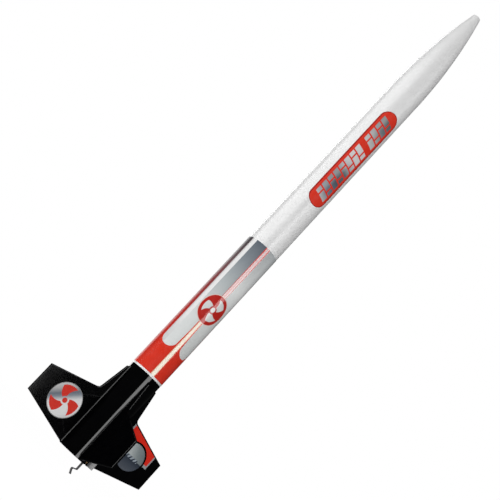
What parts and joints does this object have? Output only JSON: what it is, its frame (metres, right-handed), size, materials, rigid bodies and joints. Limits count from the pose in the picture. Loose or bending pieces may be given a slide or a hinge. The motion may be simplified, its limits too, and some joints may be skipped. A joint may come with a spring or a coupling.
{
  "type": "model rocket",
  "caption": "Model rocket with a white paper tube, ogive nose that pulls off, printed tail wrap, moulded black fin unit, engine hook, launch lug and packed parachute.",
  "frame": {"origin": "on the rocket's axis at the aft mouth of the motor tube, in the plane of the fin unit's aft end", "axes": "+Z along the airframe to the nose; fins stand on +X, +Y, -X and -Y; the launch lug is in the corner of the +X fin's -Y side"},
  "size_m": [0.108, 0.108, 0.4379],
  "materials": {
    "tube_gloss_white": "glossy coated",
    "nose_gloss_white": "glossy",
    "fin_gloss_black": "glossy",
    "printed_wrap": "glossy printed film",
    "red_film": "glossy printed film",
    "silver_film": "metallic printed film",
    "lug_paper": "satin",
    "kraft_paper": "matte",
    "spring_steel": "satin",
    "elastic": "woven",
    "canopy_film": "thin plastic film",
    "line_thread": "twisted thread",
    "tape_disc": "satin",
    "clay": "matte clay"
  },
  "bodies": {
    "airframe": {"body_tube": "tube_gloss_white", "tail_wrap": "printed_wrap", "name_panels": "red_film", "fin_unit": "fin_gloss_black", "fin_emblem_stickers": "silver_film", "fin_red_panels": "red_film", "fin_grey_discs": "silver_film", "launch_lug": "lug_paper", "motor_tube": "kraft_paper", "thrust_ring": "kraft_paper", "front_centering_ring": "kraft_paper", "rear_centering_ring": "kraft_paper", "shock_cord": "elastic"},
    "nose": {"nose_cone": "nose_gloss_white", "nose_base_cap": "nose_gloss_white", "nose_weight": "clay", "parachute_canopy": "canopy_film", "shroud_lines": "line_thread", "line_tape_discs": "tape_disc"},
    "hook": {"engine_hook": "spring_steel"}
  },
  "joints": [
    {"name": "nose_slide", "type": "slide", "parent": "airframe", "child": "nose", "axis": [0, 0, 1], "range_m": [0, 0.12], "deforming": ["shock_cord"]},
    {"name": "hook_flex", "type": "hinge", "parent": "airframe", "child": "hook", "pos_m": [0.00559, -0.00799, 0.0639], "axis": [-0.8192, -0.5736, 0], "range_deg": [0, 2.7], "stiffness_Nm_per_rad": 0.37}
  ]
}
